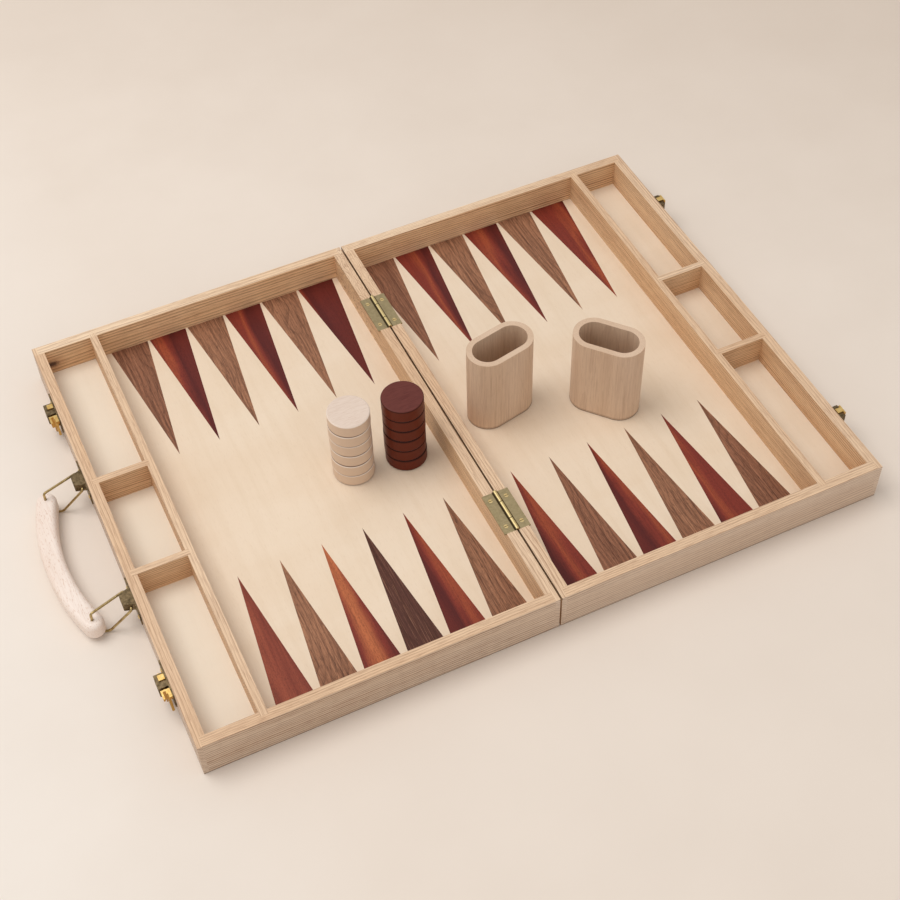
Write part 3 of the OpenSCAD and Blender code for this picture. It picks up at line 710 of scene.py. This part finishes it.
def dress_hinges():
    leaves = ends("{}_hinge_left_leaf") + ends("{}_hinge_right_leaf")
    steel = metal("pin_steel", colour=srgb(236, 212, 160), shade=srgb(206, 180, 128), rough=(0.28, 0.42))
    dress(leaves, hinge_metal())
    dress(ends("{}_hinge_pin") + ["latch_pins"], steel)
    dress(both("{}_hinge_screws"), slotted_metal())
    soften(leaves, 0.15)


def dress_wall_hardware():
    brackets = ends("{}_handle_bracket")
    plates = ends("{}_latch_base") + ends("{}_catch")
    bright_pieces = ends("{}_latch_lever") + ["latch_squares", "catch_hooks"]
    bronze = metal("antique_bronze", colour=srgb(136, 118, 90), shade=srgb(78, 66, 48),
                   rough=(0.36, 0.55), wear=srgb(180, 154, 106))
    # The bright brass has painted shade on its faces that don't look up
    bright = metal("bright_brass", colour=srgb(250, 216, 142), shade=srgb(226, 180, 98),
                   rough=(0.24, 0.38), wear=srgb(255, 236, 180), side=srgb(176, 126, 58))
    screws = metal("screw_brass", colour=srgb(255, 228, 166), shade=srgb(222, 186, 120),
                   rough=(0.24, 0.36))
    dress(brackets + plates, bronze)
    dress(bright_pieces, bright)
    dress(both("{}_plate_screws"), screws)
    soften(brackets, 0.9, 3)
    soften(plates, 0.5)
    soften(bright_pieces, 0.2)


def stack(colour):
    """The names of one stack's checkers, from the lowest up."""
    return [f"{colour}_checker_{i + 1}" for i in range(CHECKERS)]


def dress_checkers():
    # groove is the colour of painted shade at the joints; edge is a painted highlight on the pale
    # checkers and painted shade on the dark ones
    white = checker_wood(
        "pale_checker_wood", light=srgb(228, 210, 196), mid=srgb(221, 201, 186),
        dark=srgb(196, 168, 146), side=srgb(226, 200, 175), groove=srgb(126, 92, 68),
        edge=srgb(250, 238, 226), shine=0.28)
    dark = checker_wood(
        "dark_checker_wood", light=srgb(108, 58, 52), mid=srgb(96, 48, 44),
        dark=srgb(58, 26, 24), side=srgb(106, 41, 22), groove=srgb(22, 8, 6),
        edge=srgb(46, 18, 13), shine=0.14)
    dress(stack("white"), white)
    dress(stack("dark"), dark)
    soften(stack("white") + stack("dark"), 0.7, 3)


def dress_cups():
    maple = plain_wood(
        "cup_maple", "Z", light=srgb(222, 195, 169), mid=srgb(214, 185, 157), dark=srgb(158, 118, 92),
        finish_of=turned_foot, period=2.6, tilt=0.6, line_strength=0.1, pore_strength=0.22,
        gloss=(0.4, 0.52), seed=6.0)
    dress(both("{}_cup_body") + both("{}_cup_base"), maple)
    soften(both("{}_cup_body"), 0.9, 3)
    soften(both("{}_cup_base"), 0.3)


def new_piece(name, mesh_work, body, material):
    """A mesh object built by mesh_work, riding on a CAD body."""
    mesh = bpy.data.meshes.new(name)
    work = bmesh.new()
    mesh_work(work)
    bmesh.ops.recalc_face_normals(work, faces=work.faces)
    work.to_mesh(mesh)
    work.free()
    mesh.materials.append(material)
    for polygon in mesh.polygons:
        polygon.use_smooth = True
    piece = bpy.data.objects.new(name, mesh)
    bpy.context.scene.collection.objects.link(piece)
    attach(piece, body)
    return piece


def rounded_path(corners, radius, steps=6):
    """A closed path through the corners, with each corner turned on an arc."""
    longest_share = 0.45
    path = []
    count = len(corners)
    for i, corner in enumerate(corners):
        before = corners[i - 1] - corner
        after = corners[(i + 1) % count] - corner
        reach = min(radius, before.length * longest_share, after.length * longest_share)
        start = corner + before.normalized() * reach
        end = corner + after.normalized() * reach
        for step in range(steps + 1):
            t = step / steps
            path.append(start * (1 - t) ** 2 + corner * 2 * t * (1 - t) + end * t ** 2)
    return path


def join_rings(work, lower, upper):
    """A band of faces between two rings of as many corners."""
    count = len(lower)
    for k in range(count):
        n = (k + 1) % count
        work.faces.new((lower[k], lower[n], upper[n], upper[k]))


def tube(work, path, radius, sides=14):
    """A closed tube along a path, its rings turned on from one to the next."""
    rings = []
    count = len(path)
    across = None
    for i, place in enumerate(path):
        along = (path[(i + 1) % count] - path[i - 1]).normalized()
        if across is None:
            across = along.orthogonal().normalized()
        across = (across - along * across.dot(along)).normalized()
        beside = along.cross(across)
        turns = [2 * math.pi * k / sides for k in range(sides)]
        rings.append([work.verts.new(place + (across * math.cos(a) + beside * math.sin(a)) * radius)
                      for a in turns])
    first, last = rings[0], rings[-1]
    nearest = min(range(sides), key=lambda k: (last[0].co - first[k].co).length)
    closing = [first[(k + nearest) % sides] for k in range(sides)]
    for lower, upper in zip(rings, rings[1:] + [closing]):
        join_rings(work, lower, upper)


def left_point(out, y, z):
    """A place given by its distance out from the left wall."""
    return Vector((SEAM_X - OUTER_X - out, y, z)) * MM


def make_bails(material):
    """One bent wire through each bracket and each end of the grip."""
    low = GRIP_BOTTOM - WIRE_R - BAIL_UNDER_GAP
    behind_grip = GRIP_HOLE_OUT - GRIP_WIDTH / 2 - BAIL_INSET
    for row, middle in (("back", HANDLE_Y), ("front", -HANDLE_Y)):
        corners = [
            left_point(PIVOT_OUT, middle + BAIL_HALF, PIVOT_Z),
            left_point(GRIP_HOLE_OUT, middle, PIVOT_Z + BAIL_RISE),
            left_point(GRIP_HOLE_OUT, middle, low),
            left_point(behind_grip, middle - BAIL_BESIDE, low),
            left_point(PIVOT_OUT, middle - BAIL_HALF, PIVOT_Z),
        ]
        path = rounded_path(corners, BAIL_BEND * MM)

        def wire(work):
            tube(work, path, WIRE_R * MM)
        piece = new_piece(f"{row}_bail_wire", wire, "handle", material)
        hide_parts(f"{row}_handle_bail")


def arc(out, y, radius, start, turn, steps, with_ends):
    """Places along a part of a circle, as (out, y) pairs."""
    shown = range(steps + 1) if with_ends else range(1, steps)
    angles = [start + turn * step / steps for step in shown]
    return [(out + radius * math.cos(a), y + radius * math.sin(a)) for a in angles]


def grip_outline(inset, steps=40, end_steps=14):
    """The bowed outline seen from above, drawn in by inset, as (out, y) pairs."""
    radius = (HANDLE_Y ** 2 + GRIP_BOW ** 2) / (2 * GRIP_BOW)
    centre = GRIP_HOLE_OUT + GRIP_BOW - radius
    half = GRIP_WIDTH / 2 - inset
    spread = math.asin(HANDLE_Y / radius)
    outer = arc(centre, 0.0, radius + half, -spread, 2 * spread, steps, True)
    back_end = arc(GRIP_HOLE_OUT, HANDLE_Y, half, spread, math.pi, end_steps, False)
    inner = arc(centre, 0.0, radius - half, spread, -2 * spread, steps, True)
    front_end = arc(GRIP_HOLE_OUT, -HANDLE_Y, half, math.pi - spread, math.pi, end_steps, False)
    return outer + back_end + inner + front_end


def grip_mesh(work, steps=6):
    """The bowed outline built up in levels, with rounded lower and upper edges."""
    levels = []
    for step in range(steps + 1):
        a = math.pi / 2 * step / steps
        levels.append((GRIP_ROUND * (1 - math.sin(a)), GRIP_BOTTOM + GRIP_ROUND * (1 - math.cos(a))))
    levels += [(inset, GRIP_BOTTOM + GRIP_TOP - z) for inset, z in reversed(levels)]
    rings = [[work.verts.new(left_point(out, y, z)) for out, y in grip_outline(inset)]
             for inset, z in levels]
    for lower, upper in zip(rings, rings[1:]):
        join_rings(work, lower, upper)
    work.faces.new(rings[0])
    work.faces.new(rings[-1])


def bore_grip(piece):
    """Cuts the two holes for the wires."""
    for sign in (1, -1):
        cutter_mesh = bpy.data.meshes.new("bore")
        work = bmesh.new()
        bmesh.ops.create_cone(work, cap_ends=True, segments=24, radius1=GRIP_HOLE_R * MM,
                              radius2=GRIP_HOLE_R * MM, depth=2 * GRIP_TOP * MM)
        work.to_mesh(cutter_mesh)
        work.free()
        cutter = bpy.data.objects.new("bore", cutter_mesh)
        cutter.location = left_point(GRIP_HOLE_OUT, sign * HANDLE_Y, GRIP_TOP / 2)
        bpy.context.scene.collection.objects.link(cutter)
        cut = piece.modifiers.new("bore", "BOOLEAN")
        cut.object = cutter
        cut.solver = "EXACT"
        bpy.context.view_layer.update()
        graph = bpy.context.evaluated_depsgraph_get()
        bored = bpy.data.meshes.new_from_object(piece.evaluated_get(graph))
        piece.modifiers.clear()
        piece.data = bored
        bpy.data.objects.remove(cutter)


def make_grip(material):
    piece = new_piece("bowed_grip", grip_mesh, "handle", material)
    bore_grip(piece)
    piece.modifiers.new("even shading", "WEIGHTED_NORMAL")
    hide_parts("handle_grip")


def make_handle():
    wire = metal("bail_wire_metal", colour=srgb(200, 178, 128), shade=srgb(150, 126, 80),
                 rough=(0.22, 0.36))
    make_bails(wire)
    make_grip(grip_wood())


def make_stage():
    mesh = bpy.data.meshes.new("table_top")
    work = bmesh.new()
    bmesh.ops.create_grid(work, x_segments=4, y_segments=4, size=TABLE_HALF)
    work.to_mesh(mesh)
    work.free()
    mesh.materials.append(table_paper())
    table = bpy.data.objects.new("table_top", mesh)
    bpy.context.scene.collection.objects.link(table)


def area_light(name, place, size, power, colour):
    """A round lamp that looks at the frame's origin."""
    data = bpy.data.lights.new(name, "AREA")
    data.shape = "DISK"
    data.size = size
    data.energy = power
    data.color = colour
    lamp = bpy.data.objects.new(name, data)
    lamp.location = place
    lamp.rotation_euler = (-Vector(place)).to_track_quat("-Z", "Y").to_euler()
    bpy.context.scene.collection.objects.link(lamp)


def make_light():
    world = bpy.data.worlds.new("soft_room")
    world.use_nodes = True
    background = world.node_tree.nodes["Background"]
    background.inputs["Color"].default_value = ROOM_COLOUR
    background.inputs["Strength"].default_value = ROOM_STRENGTH
    bpy.context.scene.world = world
    area_light("overhead", LAMP_PLACE, LAMP_SIZE, LAMP_POWER, LAMP_COLOUR)
    area_light("fill", FILL_PLACE, FILL_SIZE, FILL_POWER, FILL_COLOUR)


def make_camera():
    """The camera at the photo's place and angle."""
    data = bpy.data.cameras.new("view")
    data.sensor_width = CAMERA_SENSOR
    data.lens = CAMERA_LENS
    camera = bpy.data.objects.new("view", data)
    axes = (Vector(CAMERA_RIGHT), -Vector(CAMERA_DOWN), -Vector(CAMERA_AHEAD))
    camera.rotation_euler = Matrix(axes).transposed().to_euler()
    camera.location = (Vector(CAMERA_PLACE) + Vector((SEAM_X, 0, 0))) * MM
    bpy.context.scene.collection.objects.link(camera)
    bpy.context.scene.camera = camera


dress_frame()
dress_points()
dress_hinges()
dress_wall_hardware()
dress_checkers()
dress_cups()
make_handle()
make_stage()
make_light()
make_camera()
bpy.context.scene.view_settings.view_transform = "Standard"
